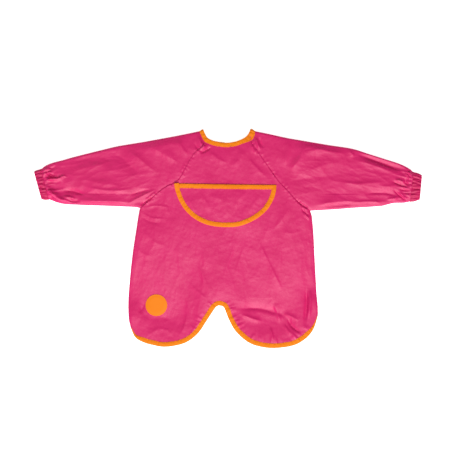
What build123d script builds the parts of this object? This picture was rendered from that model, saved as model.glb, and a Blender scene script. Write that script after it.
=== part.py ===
"""Artist smock with long raglan sleeves, lying flat on its back, front side up.

+X is the viewer's right, +Y points to the neck, +Z is up. The origin is on the floor, in the middle.
"""

import os

from build123d import *

os.makedirs("parts", exist_ok=True)

# Cloth and lie.
CLOTH = 0.8  # thickness of one cloth layer
LOFT = 12.0  # height of the garment as it lies, outside bindings and cuffs
FOLD_FLAT = 0.6  # flat left at mid-height between the two rounded halves of a fold
TALL = 60.0  # taller than everything, for cutting tools
BINDING = 9.5  # finished width of the bias binding
REDRAW_STEPS = 8  # stops along a curve when it is redrawn
MIDWAY = 0.5

# Outline of the lying garment, carried on past the neck, the hem and both cuffs.
LEFT_CUFF_END = ((-356.0, 81.0), (-391.0, 73.0), (-408.0, 131.0), (-373.0, 142.0))
LEFT_TOP = ((-373.0, 142.0), (-347.0, 154.5), (-283.0, 170.5), (-155.0, 196.0), (-54.0, 217.0))
NECK_TOP = ((-54.0, 217.0), (0.0, 228.0), (54.0, 216.0))
RIGHT_TOP = (
    (54.0, 216.0),
    (155.0, 196.0),
    (251.0, 180.0),
    (303.0, 165.0),
    (351.0, 149.0),
    (367.0, 138.0),
)
RIGHT_CUFF_END = ((367.0, 138.0), (405.0, 131.0), (403.0, 78.0), (366.0, 76.0))
RIGHT_UNDER = ((366.0, 76.0), (335.0, 71.0), (249.0, 63.0), (166.0, 57.0))
RIGHT_SIDE = ((166.0, 57.0), (171.0, 5.0), (177.0, -103.0), (180.0, -150.0))
SKIRT_END = ((180.0, -150.0), (180.0, -250.0), (-199.0, -250.0), (-199.0, -150.0))
LEFT_SIDE = ((-199.0, -150.0), (-195.0, -73.0), (-181.0, 29.0), (-176.0, 62.0))
LEFT_UNDER = ((-176.0, 62.0), (-251.0, 66.0), (-305.0, 69.0), (-331.0, 71.0), (-356.0, 81.0))

# Neck edge, front hem and open back.
NECK_EDGE = ((-53.0, 240.0), (-47.0, 218.0), (-38.0, 200.0), (-2.0, 192.0), (32.0, 200.0), (48.0, 240.0))
LEFT_LOBE = ((-208.0, -136.0), (-194.0, -175.0), (-168.0, -206.0), (-124.0, -217.0), (-74.0, -203.0))
LEFT_LOBE_RISE = ((-74.0, -203.0), (-40.0, -163.0), (-15.0, -134.0))
RIGHT_LOBE_FALL = ((-15.0, -134.0), (6.0, -163.0), (42.0, -207.0))
RIGHT_LOBE = ((42.0, -207.0), (94.0, -219.0), (150.0, -204.0), (174.0, -175.0), (189.0, -132.0))
SLIT_HALF = 3.0
SLIT_TOP = 245.0
SLIT_FOOT = 138.0
BACK_FLARE = ((30.0, 92.0), (92.0, 12.0), (150.0, -82.0))
BACK_MEET_LEFT = (-206.0, -170.0)
BACK_MEET_RIGHT = (189.0, -170.0)

# Raglan seams, from the neck edge to the underarm.
LEFT_SEAM = ((-34.0, 232.0), (-52.0, 185.0), (-94.0, 123.0), (-138.0, 94.0), (-190.0, 48.0))
RIGHT_SEAM = ((36.0, 232.0), (52.0, 190.0), (90.0, 130.0), (134.0, 84.0), (182.0, 42.0))

# Sleeves: the line each folds over, and the cuff.
LEFT_FOLD = (-184.0, 64.0)
RIGHT_FOLD = (176.0, 58.0)
FOLD_LEAN = 30.0  # degrees between the fold line and +Y
FOLD_REACH = 400.0
LEFT_CUFF_EDGE = (-379.6, 107.0)
RIGHT_CUFF_EDGE = (385.8, 103.0)
LEFT_CUFF_TURN = 15.5
RIGHT_CUFF_TURN = -4.8
CUFF_DEPTH = 18.0
CUFF_MARGIN = 2.5  # casing beyond the elastic at each edge

# Half-moon pocket with its own bindings.
BAG_CURVE = (
    (-107.0, 140.0),
    (-104.0, 98.0),
    (-84.0, 55.0),
    (0.0, 22.0),
    (81.0, 55.0),
    (98.0, 94.0),
    (100.0, 140.0),
)
MOUTH_MIDDLE = (-4.0, 107.0)
MOUTH_TILT = -1.1
BAG_ROOM = 6.0  # clear height inside the pocket
BAG_ROUND = 4.0
TURN_IN = 1.0  # binding outside the pocket's cloth edge

# Round badge on the left lobe.
BADGE_CENTRE = (-141.5, -133.5)
BADGE_RADIUS = 21.75
BADGE_THICK = 1.2
BADGE_ROUND = 0.4

# Hook-and-loop tab at the back of the neck, in a hollow of the back panels.
TAB_CENTRE = (0.0, 163.0)
TAB_LENGTH = 72.0
TAB_WIDTH = 24.0
TAB_SEWN = 8.0
TAB_FLOOR = 0.4  # the tab's clearance from the floor
HOLLOW_LENGTH = 96.0
HOLLOW_WIDTH = 32.0
HOLLOW_DEPTH = 3.0
PATCH_LENGTH = 20.0
PATCH_WIDTH = 18.0
PATCH_INSET = 2.0
LOOP_THICK = 1.2
HOOK_THICK = 1.4

FRONT_Z = LOFT - CLOTH  # upper face of the front panel
MIDDLE_Z = LOFT / 2


def outline():
    """The lying garment seen from above, before the neck, hem and cuffs are cut."""
    with BuildSketch() as sketch:
        with BuildLine():
            Polyline(*LEFT_CUFF_END)
            Spline(*LEFT_TOP)
            Polyline(*NECK_TOP)
            Spline(*RIGHT_TOP)
            Polyline(*RIGHT_CUFF_END)
            Spline(*RIGHT_UNDER)
            Spline(*RIGHT_SIDE)
            Polyline(*SKIRT_END)
            Spline(*LEFT_SIDE)
            Spline(*LEFT_UNDER)
        make_face()
    return sketch.sketch


def grown(region, amount):
    """A flat region with its edge moved outwards, or inwards when negative, redrawn as plain curves."""
    with BuildSketch() as rough:
        add(region)
        offset(amount=amount, kind=Kind.ARC, mode=Mode.REPLACE)
    with BuildSketch() as sketch:
        with BuildLine():
            for edge in rough.sketch.faces()[0].outer_wire().edges():
                if edge.geom_type == GeomType.LINE:
                    Line(edge @ 0, edge @ 1)
                elif edge.geom_type == GeomType.CIRCLE:
                    ThreePointArc(edge @ 0, edge @ MIDWAY, edge @ 1)
                else:
                    stops = [edge @ (step / REDRAW_STEPS) for step in range(REDRAW_STEPS + 1)]
                    Spline(*stops, tangents=(edge % 0, edge % 1))
        make_face()
    return sketch.sketch


def cushion(inset):
    """The space the lying garment fills, with every face moved in by the inset."""
    with BuildPart() as body:
        with BuildSketch(Plane.XY.offset(inset)):
            add(grown(outline(), -inset) if inset else outline())
        extrude(amount=LOFT - 2 * inset)
        levels = body.edges().group_by(Axis.Z)
        fillet(levels[0] + levels[-1], radius=LOFT / 2 - inset - FOLD_FLAT)
        with BuildSketch(Plane.XY.offset(inset)):
            with Locations(TAB_CENTRE):
                Rectangle(HOLLOW_LENGTH + 2 * inset, HOLLOW_WIDTH + 2 * inset)
        extrude(amount=HOLLOW_DEPTH, mode=Mode.SUBTRACT)
    return body.part


def prism(region, bottom=0.0, top=TALL):
    """A flat region carried straight up between two heights."""
    with BuildPart() as body:
        with BuildSketch(Plane.XY.offset(bottom)):
            add(region)
        extrude(amount=top - bottom)
    return body.part


def neck_space():
    """The neck opening and everything above it."""
    with BuildSketch() as sketch:
        with BuildLine():
            Spline(*NECK_EDGE)
            Line(NECK_EDGE[-1], NECK_EDGE[0])
        make_face()
    return sketch.sketch


def hem_space():
    """Everything below the front hem, with its two lobes and the notch between them."""
    start = LEFT_LOBE[0]
    end = RIGHT_LOBE[-1]
    low = -FOLD_REACH
    with BuildSketch() as sketch:
        with BuildLine():
            Spline(*LEFT_LOBE)
            Spline(*LEFT_LOBE_RISE)
            Spline(*RIGHT_LOBE_FALL)
            Spline(*RIGHT_LOBE)
            Polyline(end, (end[0], low), (start[0], low), start)
        make_face()
    return sketch.sketch


def back_space():
    """The open back: a slit at the neck that flares out to both side folds."""
    low = -FOLD_REACH
    left_flare = [(-x, y) for x, y in BACK_FLARE]
    with BuildSketch() as sketch:
        with BuildLine():
            Spline(BACK_MEET_LEFT, *reversed(left_flare), (-SLIT_HALF, SLIT_FOOT))
            Polyline((-SLIT_HALF, SLIT_FOOT), (-SLIT_HALF, SLIT_TOP), (SLIT_HALF, SLIT_TOP))
            Line((SLIT_HALF, SLIT_TOP), (SLIT_HALF, SLIT_FOOT))
            Spline((SLIT_HALF, SLIT_FOOT), *BACK_FLARE, BACK_MEET_RIGHT)
            Polyline(BACK_MEET_RIGHT, (BACK_MEET_RIGHT[0], low), (BACK_MEET_LEFT[0], low))
            Line((BACK_MEET_LEFT[0], low), BACK_MEET_LEFT)
        make_face()
    return sketch.sketch


def body_region():
    """Everything between the two raglan seams."""
    low = -FOLD_REACH
    with BuildSketch() as sketch:
        with BuildLine():
            Spline(*LEFT_SEAM)
            Polyline(LEFT_SEAM[-1], (-FOLD_REACH, LEFT_SEAM[-1][1]), (-FOLD_REACH, low))
            Line((-FOLD_REACH, low), (FOLD_REACH, low))
            Polyline((FOLD_REACH, low), (FOLD_REACH, RIGHT_SEAM[-1][1]), RIGHT_SEAM[-1])
            Spline(*RIGHT_SEAM)
            Line(RIGHT_SEAM[0], LEFT_SEAM[0])
        make_face()
    return sketch.sketch


def beyond(point, turn, side):
    """The half-plane on one side of a line through the point, turned from +Y by degrees."""
    with BuildSketch() as sketch:
        with Locations(Location((*point, 0), (0, 0, turn))):
            with Locations((side * FOLD_REACH, 0)):
                Rectangle(2 * FOLD_REACH, 2 * FOLD_REACH)
    return sketch.sketch


def kept(solid, *regions):
    """The part of a solid inside every one of the regions."""
    with BuildPart() as body:
        add(solid)
        for region in regions:
            add(region, mode=Mode.INTERSECT)
    return body.part


def without(solid, *tools):
    """A solid with other solids cut away."""
    with BuildPart() as body:
        add(solid)
        for tool in tools:
            add(tool, mode=Mode.SUBTRACT)
    return body.part


def save(name, solid):
    """Write one piece as its own file."""
    with BuildPart() as piece:
        add(solid)
    piece.part.label = name
    export_step(piece.part, f"parts/{name}.step")


# Nested spaces one cloth thickness apart: binding outside, cloth, binding inside.
outer_space = cushion(0.0)
cloth_space = cushion(CLOTH)
cloth_room = cushion(2 * CLOTH)
inner_room = cushion(3 * CLOTH)
cloth_skin = without(cloth_space, cloth_room)
triple_skin = without(outer_space, inner_room)

lower_half = prism(beyond((0, 0), 0, 0), -CLOTH, MIDDLE_Z)
upper_half = prism(beyond((0, 0), 0, 0), MIDDLE_Z)
neck_gap = prism(neck_space())
neck_trim = prism(grown(neck_space(), CLOTH))
neck_reach = prism(grown(neck_space(), BINDING))
hem_gap = prism(hem_space())
hem_trim = prism(grown(hem_space(), CLOTH))
hem_reach = prism(grown(hem_space(), BINDING))
back_gap = prism(back_space())
back_trim = prism(grown(back_space(), CLOTH))
back_reach = prism(grown(back_space(), BINDING))
body_cut = prism(body_region())
left_half = prism(beyond((0, 0), 0, -1), -CLOTH)
right_half = prism(beyond((0, 0), 0, 1), -CLOTH)

# Body: the front panel and the two back panels, joined along the side folds.
body_skin = without(kept(cloth_skin, body_cut), neck_trim)
front_panel = without(kept(body_skin, upper_half), hem_trim)
back_panels = without(kept(body_skin, lower_half), back_trim)
save("front_panel", front_panel)
save("back_panel_left", kept(back_panels, left_half))
save("back_panel_right", kept(back_panels, right_half))

# Bindings: folded strips that hold a cloth edge between their two faces.
neck_strip = without(kept(triple_skin, neck_reach), neck_gap, kept(back_gap, lower_half))
save("neck_binding", without(neck_strip, without(cloth_skin, neck_trim)))
hem_strip = without(kept(triple_skin, hem_reach, upper_half), hem_gap)
save("hem_binding", without(hem_strip, without(cloth_skin, hem_trim)))
back_strips = without(kept(triple_skin, back_reach, lower_half), back_gap, neck_reach)
back_strips = without(back_strips, without(cloth_skin, back_trim))
save("back_edge_binding_left", kept(back_strips, left_half))
save("back_edge_binding_right", kept(back_strips, right_half))

# Sleeves: a cap sewn to the body, then the arm that folds over, then the gathered cuff.
sleeves_skin = without(cloth_skin, body_cut, neck_trim)
SIDES = (
    ("left", -1, LEFT_FOLD, -FOLD_LEAN, LEFT_CUFF_EDGE, LEFT_CUFF_TURN, left_half),
    ("right", 1, RIGHT_FOLD, FOLD_LEAN, RIGHT_CUFF_EDGE, RIGHT_CUFF_TURN, right_half),
)
for side, sign, fold, lean, cuff_edge, cuff_turn, half in SIDES:
    cuff_turned = Location((*cuff_edge, 0), (0, 0, cuff_turn))
    cuff_inner = (cuff_turned * Location((-sign * CUFF_DEPTH, 0, 0))).position
    band_outer = (cuff_turned * Location((-sign * CUFF_MARGIN, 0, 0))).position
    band_inner = (cuff_turned * Location((sign * (CUFF_MARGIN - CUFF_DEPTH), 0, 0))).position
    arm = prism(beyond(fold, lean, sign))
    cuff = prism(beyond((cuff_inner.X, cuff_inner.Y), cuff_turn, sign))
    past_cuff = prism(beyond(cuff_edge, cuff_turn, sign))
    band_start = prism(beyond((band_inner.X, band_inner.Y), cuff_turn, sign))
    band_end = prism(beyond((band_outer.X, band_outer.Y), cuff_turn, sign))
    sleeve = kept(sleeves_skin, half)
    elastic = without(kept(cloth_skin, band_start), band_end)
    casing = without(kept(triple_skin, cuff), past_cuff)
    save(f"{side}_sleeve_cap", without(sleeve, arm))
    save(f"{side}_sleeve", without(kept(sleeve, arm), cuff))
    save(f"{side}_cuff_casing", without(casing, elastic))
    save(f"{side}_cuff_elastic", elastic)


def bag_region(inset):
    """The pocket seen from above, carried on past its mouth."""
    with BuildSketch() as sketch:
        with BuildLine():
            Spline(*BAG_CURVE)
            Line(BAG_CURVE[-1], BAG_CURVE[0])
        make_face()
    return grown(sketch.sketch, -inset) if inset else sketch.sketch


def bag_space(inset, height, rounding):
    """The room the raised part of the pocket takes, rounded at the top."""
    with BuildPart() as body:
        with BuildSketch(Plane.XY.offset(FRONT_Z)):
            add(bag_region(inset))
        extrude(amount=height)
        fillet(body.edges().group_by(Axis.Z)[-1], radius=rounding)
    return body.part


def below_mouth(drop):
    """Everything on the bag's side of the mouth line, moved down by the drop."""
    with BuildSketch() as sketch:
        with Locations(Location((*MOUTH_MIDDLE, 0), (0, 0, MOUTH_TILT))):
            with Locations((0, -drop - FOLD_REACH)):
                Rectangle(2 * FOLD_REACH, 2 * FOLD_REACH)
    return prism(sketch.sketch)


# Pocket: a raised bag with a sewn flange, its mouth strip and its curved strip.
bag_edge = BINDING
flange = prism(bag_region(TURN_IN), FRONT_Z, FRONT_Z + CLOTH)
bag_outside = bag_space(bag_edge, BAG_ROOM + CLOTH, BAG_ROUND)
bag_inside = bag_space(bag_edge + CLOTH, BAG_ROOM, BAG_ROUND - CLOTH)
with BuildPart() as pocket_panel:
    add(flange)
    add(bag_outside)
    add(bag_inside, mode=Mode.SUBTRACT)
    add(below_mouth(CLOTH), mode=Mode.INTERSECT)
save("pocket_panel", pocket_panel.part)

mouth_outside = bag_space(bag_edge - CLOTH, BAG_ROOM + 2 * CLOTH, BAG_ROUND + CLOTH)
mouth_inside = bag_space(bag_edge + 2 * CLOTH, BAG_ROOM - CLOTH, BAG_ROUND - 2 * CLOTH)
mouth_strip = without(kept(mouth_outside, below_mouth(0)), below_mouth(BINDING), mouth_inside)
save("pocket_mouth_binding", without(mouth_strip, pocket_panel.part))

edge_strip = prism(bag_region(0), FRONT_Z, FRONT_Z + 2 * CLOTH)
edge_strip = without(kept(edge_strip, below_mouth(0)), prism(bag_region(bag_edge - CLOTH)))
save("pocket_edge_binding", without(edge_strip, pocket_panel.part))

# Badge sewn on the left lobe.
with BuildPart() as badge:
    with BuildSketch(Plane.XY.offset(FRONT_Z)):
        with Locations(BADGE_CENTRE):
            Circle(BADGE_RADIUS)
    extrude(amount=BADGE_THICK)
    fillet(badge.edges().group_by(Axis.Z)[-1], radius=BADGE_ROUND)
save("badge", badge.part)

# Neck tab: sewn to the left back panel, holding on to the right one.
tab_top = TAB_FLOOR + CLOTH
back_face = HOLLOW_DEPTH + CLOTH
tab_start = TAB_CENTRE[0] - TAB_LENGTH / 2
tab_end = TAB_CENTRE[0] + TAB_LENGTH / 2
patch_centre = (tab_end - PATCH_INSET - PATCH_LENGTH / 2, TAB_CENTRE[1])
with BuildPart() as neck_tab:
    with BuildSketch(Plane.XY.offset(TAB_FLOOR)):
        with Locations(TAB_CENTRE):
            Rectangle(TAB_LENGTH, TAB_WIDTH)
    extrude(amount=CLOTH)
    with BuildSketch(Plane.XY.offset(tab_top)):
        with Locations((tab_start + TAB_SEWN / 2, TAB_CENTRE[1])):
            Rectangle(TAB_SEWN, TAB_WIDTH)
    extrude(amount=back_face - tab_top)
save("neck_tab", neck_tab.part)

for name, bottom, thick in (
    ("loop_patch", tab_top, LOOP_THICK),
    ("hook_patch", tab_top + LOOP_THICK, HOOK_THICK),
):
    with BuildPart() as patch:
        with BuildSketch(Plane.XY.offset(bottom)):
            with Locations(patch_centre):
                Rectangle(PATCH_LENGTH, PATCH_WIDTH)
        extrude(amount=thick)
    save(name, patch.part)
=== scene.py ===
import math

import bpy
import numpy as np
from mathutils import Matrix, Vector, geometry


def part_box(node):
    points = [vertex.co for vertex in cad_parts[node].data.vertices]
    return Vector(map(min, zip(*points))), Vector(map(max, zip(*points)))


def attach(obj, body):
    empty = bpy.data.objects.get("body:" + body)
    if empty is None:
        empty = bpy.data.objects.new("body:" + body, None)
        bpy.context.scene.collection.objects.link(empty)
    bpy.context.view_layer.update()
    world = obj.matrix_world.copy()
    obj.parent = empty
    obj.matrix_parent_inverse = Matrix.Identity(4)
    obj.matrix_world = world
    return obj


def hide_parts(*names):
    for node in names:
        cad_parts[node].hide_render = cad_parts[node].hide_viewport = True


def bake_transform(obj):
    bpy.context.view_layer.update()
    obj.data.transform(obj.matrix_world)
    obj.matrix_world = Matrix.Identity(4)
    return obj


# Shapes are worked out in millimetres and scaled to metres when a mesh is made.
MM = 0.001

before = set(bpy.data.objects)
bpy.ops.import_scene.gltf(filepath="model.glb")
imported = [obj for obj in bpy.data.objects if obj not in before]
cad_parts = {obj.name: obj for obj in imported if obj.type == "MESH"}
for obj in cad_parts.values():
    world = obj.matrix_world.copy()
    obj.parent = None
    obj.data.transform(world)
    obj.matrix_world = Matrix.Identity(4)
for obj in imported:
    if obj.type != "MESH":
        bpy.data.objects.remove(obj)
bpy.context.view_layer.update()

# ---------------------------------------------------------------- outlines, as the smock lies
LEFT_TOP = [(-53, 215.5), (-94, 207), (-134, 199.5), (-170, 193), (-218, 185), (-250, 177.5),
            (-302, 164.5), (-327, 157.5), (-348, 152), (-359, 148), (-366.5, 143.8), (-372, 139)]
LEFT_UNDER = [(-356.5, 78.6), (-348.5, 75.2), (-339.8, 72), (-329, 69.4), (-318, 68.2),
              (-300, 67.4), (-285, 66.6), (-250, 65.6), (-210, 64), (-186, 63), (-174, 61)]
LEFT_SIDE = [(-174, 61), (-176.5, 52), (-182, 17), (-190, -37), (-196, -97), (-198, -130),
             (-197, -160), (-194, -175)]
HEM_LEFT = [(-194, -175), (-184, -197), (-168, -207), (-148, -213), (-124, -216.5), (-94, -212),
            (-74, -203), (-56, -187), (-40, -163), (-24, -139), (-16.5, -133.5)]
HEM_RIGHT = [(-16.5, -133.5), (-6, -138), (4, -162), (18, -186), (42, -207), (66, -216), (94, -219),
             (128, -215), (150.5, -205), (167, -190), (176, -174), (182.3, -152)]
RIGHT_SIDE = [(182.3, -152), (182, -135), (179.6, -109), (177.6, -73), (175.6, -37), (173.6, 5),
              (170.6, 41), (168.4, 50), (166.5, 55.5)]
RIGHT_UNDER = [(166.5, 55.5), (186, 56.6), (218, 58.4), (250, 61), (285, 63.2), (309, 65),
               (320, 67.5), (330, 70.2), (340, 71.2), (352, 71.2), (361, 72.6), (366, 74)]
RIGHT_TOP = [(372.5, 133), (368.9, 137.3), (361.7, 142), (352, 147), (338.5, 152.2), (320.6, 157.8),
             (298, 165), (282, 170), (250, 180), (202, 187.5), (146, 197), (120, 201.5), (86, 209),
             (54, 215.5)]
NECK = [(-47, 216.6), (-43.8, 209), (-39.2, 201.2), (-32, 197), (-22, 193.8), (-2, 191.3),
        (14, 193), (28, 197.8), (38.2, 203.6), (43.4, 210), (46.8, 217.6)]
LEFT_SEAM = [(-53, 215.5), (-46, 200), (-48.5, 186), (-67, 169), (-82, 143), (-94, 122),
             (-106, 111), (-120, 105), (-136, 94), (-155, 77), (-174, 61)]
RIGHT_SEAM = [(54, 215.5), (48, 203), (50, 191), (62, 173), (74, 156), (90, 133), (103, 115),
              (119, 98), (146, 68.5), (166.5, 55.5)]
# Each cuff: its seam with the sleeve from a to b, and its mouth from c to d.
CUFFS = {
    "left": dict(sign=-1, a=(-372, 139), b=(-356.5, 78.6), c=(-386.6, 133.5), d=(-371.5, 78.5)),
    "right": dict(sign=1, a=(372.5, 133), b=(366, 74), c=(390.5, 126.5), d=(386, 77.5)),
}
POCKET = [(-105.5, 110), (-103.5, 98), (-96, 77), (-84, 57.5), (-67, 41.5), (-47, 30.5),
          (-26, 24.8), (0, 23), (22, 24.5), (42, 31), (63, 42.5), (80, 57.5), (92, 77), (97.5, 94),
          (98.5, 107)]
BADGE = (-141.5, -133.6)
BADGE_RADIUS = 21.75

# ---------------------------------------------------------------- sizes
STEP = 1.55  # between the points of a cloth mesh
CLOTH = 0.3  # thickness of the nylon
CUFF_CLOTH = 0.15  # thinner, so that the gathers stay apart
FLOOR = 0.06  # nothing reaches lower than this
# Mean heights of the upper layer, of the folds where the layers meet, and of the lower layer.
TOP, MID, LOW = 7.4, 3.9, 0.9
TURN = 3.4  # how far in from a fold the cloth bends over
PUFF = 1.4  # how much it rises on its way in from a fold
LAYER_GAP = 0.8  # least distance between the layers
SEAM_UP, SEAM_DOWN = 0.6, 1.6  # the front's edge stands up and the sleeve's goes down at a seam
HEM_TAPE, NECK_TAPE, POCKET_TAPE = 9.3, 8.6, 9.0  # finished widths of the bindings


def smooth(t):
    """Eases from 0 to 1."""
    t = np.clip(t, 0, 1)
    return t * t * (3 - 2 * t)


def ease(t, start, length):
    """Eases from 0 at start to 1 over a length."""
    return smooth((t - start) / length)


def bell(t, centre, width):
    return np.exp(-(((t - centre) / width) ** 2))


def lengths_along(points):
    """How far along a line each of its points is."""
    return np.concatenate([[0], np.cumsum(np.linalg.norm(np.diff(points, axis=0), axis=1))])


def curve(points, step=2.0):
    """A smooth line through the points, in even steps."""
    p = np.array(points, float)
    if len(p) > 2:
        ext = np.vstack([2 * p[0] - p[1], p, 2 * p[-1] - p[-2]])
        t = np.linspace(0, 1, 24, endpoint=False)[:, None]
        rows = []
        for i in range(len(p) - 1):
            a, b, c, d = ext[i:i + 4]
            square = (2 * a - 5 * b + 4 * c - d) * t**2
            rows.append(0.5 * (2 * b + (c - a) * t + square + (3 * b - a - 3 * c + d) * t**3))
        p = np.vstack(rows + [p[-1:]])
    run = lengths_along(p)
    n = max(2, int(round(run[-1] / step)) + 1)
    at = np.linspace(0, run[-1], n)
    return np.column_stack([np.interp(at, run, p[:, k]) for k in range(p.shape[1])])


def near_exactly(path, xy):
    """Distance from each point to the line, how far along it that is, and the side (+1 is left)."""
    best = np.full(len(xy), 1e9)
    where = np.zeros(len(xy))
    side = np.ones(len(xy))
    run = 0.0
    for a, b in zip(path[:-1], path[1:]):
        ab = b - a
        length = math.hypot(*ab) or 1e-9
        rel = xy - a
        t = np.clip(rel @ ab / length**2, 0, 1)
        off = rel - t[:, None] * ab
        d = np.hypot(off[:, 0], off[:, 1])
        m = d < best
        best[m] = d[m]
        where[m] = run + t[m] * length
        side[m] = np.sign(ab[0] * rel[m, 1] - ab[1] * rel[m, 0])
        run += length
    return best, where / run, side


def near(path, xy, every=3, close=26, blend_from=16, blend_over=8):
    """near_exactly, but points far from a long line are measured to every third point of it."""
    if len(path) < 30 or len(xy) < 500:
        return near_exactly(path, xy)
    best, where, side = near_exactly(np.vstack([path[:-1:every], path[-1:]]), xy)
    m = best < close
    d, t, s = near_exactly(path, xy[m])
    far = ease(best[m], blend_from, blend_over)
    best[m] = d * (1 - far) + best[m] * far
    where[m], side[m] = t, s
    return best, where, side


def join(*parts, same=0.5):
    """One outline out of lines that start where the last one ended."""
    rows = [parts[0]]
    for p in parts[1:]:
        rows.append(p[1:] if np.linalg.norm(p[0] - rows[-1][-1]) < same else p)
    out = np.vstack(rows)
    return out[:-1] if np.linalg.norm(out[0] - out[-1]) < same else out


def noise(xy, wave, seed, waves=14):
    """Smooth random relief, about -1 to 1, with features about one wave across."""
    r = np.random.default_rng(seed)
    z = np.zeros(len(xy))
    for _ in range(waves):
        a = r.uniform(0, 2 * math.pi)
        k = 2 * math.pi / (wave * r.uniform(0.7, 1.5))
        z += np.sin((xy[:, 0] * math.cos(a) + xy[:, 1] * math.sin(a)) * k + r.uniform(0, 6.28))
    return z / waves**0.5 / 1.4


left_top = curve(LEFT_TOP)
left_under = curve(LEFT_UNDER)
left_side = curve(LEFT_SIDE)
hem_left = curve(HEM_LEFT)
hem_right = curve(HEM_RIGHT)
right_side = curve(RIGHT_SIDE)
right_under = curve(RIGHT_UNDER)
right_top = curve(RIGHT_TOP)
neck_line = curve(NECK)
left_seam = curve(LEFT_SEAM)
right_seam = curve(RIGHT_SEAM)
hem_line = join(hem_left, hem_right)
pocket_line = curve(POCKET)
# Where the cloth turns over from the front to the back.
fold_edges = [join(left_top), join(left_under, left_side), join(right_side, right_under),
              join(right_top)]


# ---------------------------------------------------------------- relief of the lying cloth
def fold(xy, z, points, height, width, skew=0.0, fade=0.35, grow=0.0, start=None):
    """Adds one soft fold along a smooth line to z.

    skew steepens its left flank and grow widens it towards its end. It fades out over the
    fraction fade of its length at the end, and over start at the beginning.
    """
    path = curve(points, 5)
    reach = 3.2 * width * (1 + grow)
    lo, hi = path.min(0) - reach, path.max(0) + reach
    m = ((xy >= lo) & (xy <= hi)).all(1)
    if not m.any():
        return
    d, t, side = near(path, xy[m])
    u = side * d / (width * (1 + grow * t))
    u = u * np.where(u > 0, 1 + skew, 1 - 0.5 * skew)
    start = fade if start is None else start
    ends = smooth((1 - t) / fade) * (smooth(t / start) if start != 0 else 1)
    z[m] += height * ends * np.exp(-np.abs(u) ** 1.45)


PLEATS = 17  # at each cuff
PLEAT_SEEDS = {"left": 21, "right": 4}


def pleats(xy, z, side):
    """Gathers that run out from a cuff into the sleeve. Every third one is long."""
    c = CUFFS[side]
    a, b = np.array(c["a"], float), np.array(c["b"], float)
    width = np.linalg.norm(b - a)
    across = (b - a) / width
    inward = np.array([-across[1], across[0]])
    inward *= -c["sign"] * np.sign(inward[0])
    r = np.random.default_rng(PLEAT_SEEDS[side])
    for i in range(PLEATS):
        v = (i + 0.5 + r.uniform(-0.25, 0.25)) / PLEATS
        start = a + across * width * (0.05 + 0.9 * v) - inward * 2
        length = r.uniform(10, 24) if i % 3 else r.uniform(32, 58)
        lean = (v - 0.5) * 0.36 + r.uniform(-0.07, 0.07)
        end = start + inward * length + across * length * lean
        bend = (start + end) / 2 + across * r.uniform(-2.2, 2.2)
        height, half, skew = r.uniform(1.0, 2.1), r.uniform(1.1, 1.6), r.uniform(-0.5, 0.5)
        fold(xy, z, [start, bend, end], height, half, skew, fade=0.8, grow=1.4, start=0)


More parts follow.
